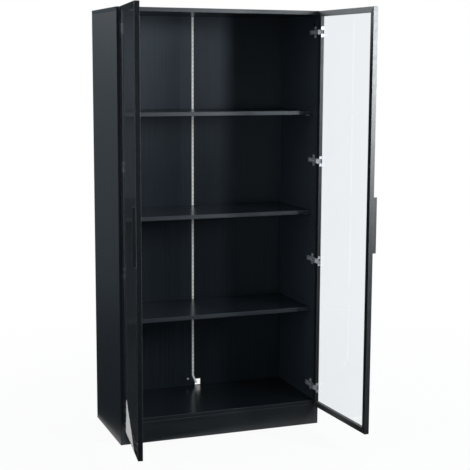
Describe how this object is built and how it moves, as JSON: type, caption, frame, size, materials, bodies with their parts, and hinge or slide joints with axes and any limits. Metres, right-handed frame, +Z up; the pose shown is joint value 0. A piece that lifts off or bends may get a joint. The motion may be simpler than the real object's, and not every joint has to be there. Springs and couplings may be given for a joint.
{
  "type": "bookcase with glass doors",
  "caption": "Tall bookcase with shelves behind a pair of hinged glass doors in slim metal frames, a plinth to the floor and a light strip down the middle of its back.",
  "frame": {"origin": "on the floor, under the middle of the plinth board", "axes": "+X to the right seen from the front, +Y to the back, +Z up; the front faces -Y"},
  "size_m": [0.8895, 0.77, 1.6],
  "materials": {
    "black_board": "satin black laminate with a faint upright grain",
    "black_back": "satin black thin board",
    "black_frame": "satin black coated profile",
    "clear_glass": "clear polished",
    "black_rubber": "matt",
    "nickel_steel": "bright nickel plate",
    "zinc_casting": "zinc plate",
    "black_steel": "black oxide",
    "bracket_alloy": "mill finish",
    "dowel_wood": "bare beech",
    "white_tape": "matt white",
    "light_lens": "clear resin over a pale light chip, unlit",
    "white_plastic": "gloss white"
  },
  "bodies": {
    "carcass": {"left_side_panel": "black_board", "right_side_panel": "black_board", "top_panel": "black_board", "bottom_panel": "black_board", "plinth": "black_board", "back_panel": "black_back", "shelf_upper": "black_board", "shelf_middle": "black_board", "shelf_lower": "black_board", "shelf_pins": "nickel_steel", "cam_bolts": "nickel_steel", "cam_locks": "zinc_casting", "dowels": "dowel_wood", "back_panel_screws": "black_steel", "light_strip": "white_tape", "light_strip_leds": "light_lens", "sensor_eye": "white_plastic", "left_hinge_plates": "nickel_steel", "left_hinge_arms": "nickel_steel", "left_hinge_arm_screws": "zinc_casting", "left_hinge_plate_screws": "zinc_casting", "right_hinge_plates": "nickel_steel", "right_hinge_arms": "nickel_steel", "right_hinge_arm_screws": "zinc_casting", "right_hinge_plate_screws": "zinc_casting"},
    "left_door": {"left_door_hinge_stile": "black_frame", "left_door_free_stile": "black_frame", "left_door_top_rail": "black_frame", "left_door_bottom_rail": "black_frame", "left_door_corner_brackets": "bracket_alloy", "left_door_glass": "clear_glass", "left_door_gasket": "black_rubber", "left_door_handle": "black_frame", "left_door_handle_screws": "black_steel", "left_hinge_cups": "nickel_steel", "left_hinge_pins": "nickel_steel", "left_hinge_cup_screws": "zinc_casting"},
    "right_door": {"right_door_hinge_stile": "black_frame", "right_door_free_stile": "black_frame", "right_door_top_rail": "black_frame", "right_door_bottom_rail": "black_frame", "right_door_corner_brackets": "bracket_alloy", "right_door_glass": "clear_glass", "right_door_gasket": "black_rubber", "right_door_handle": "black_frame", "right_door_handle_screws": "black_steel", "right_hinge_cups": "nickel_steel", "right_hinge_pins": "nickel_steel", "right_hinge_cup_screws": "zinc_casting"}
  },
  "joints": [
    {"name": "left_door_hinge", "type": "hinge", "parent": "carcass", "child": "left_door", "pos_m": [-0.389, -0.024, 0.8385], "axis": [0, 0, -1], "range_deg": [-97.8, 7.2]},
    {"name": "right_door_hinge", "type": "hinge", "parent": "carcass", "child": "right_door", "pos_m": [0.389, -0.024, 0.8385], "axis": [0, 0, 1], "range_deg": [-93.6, 11.4]}
  ]
}
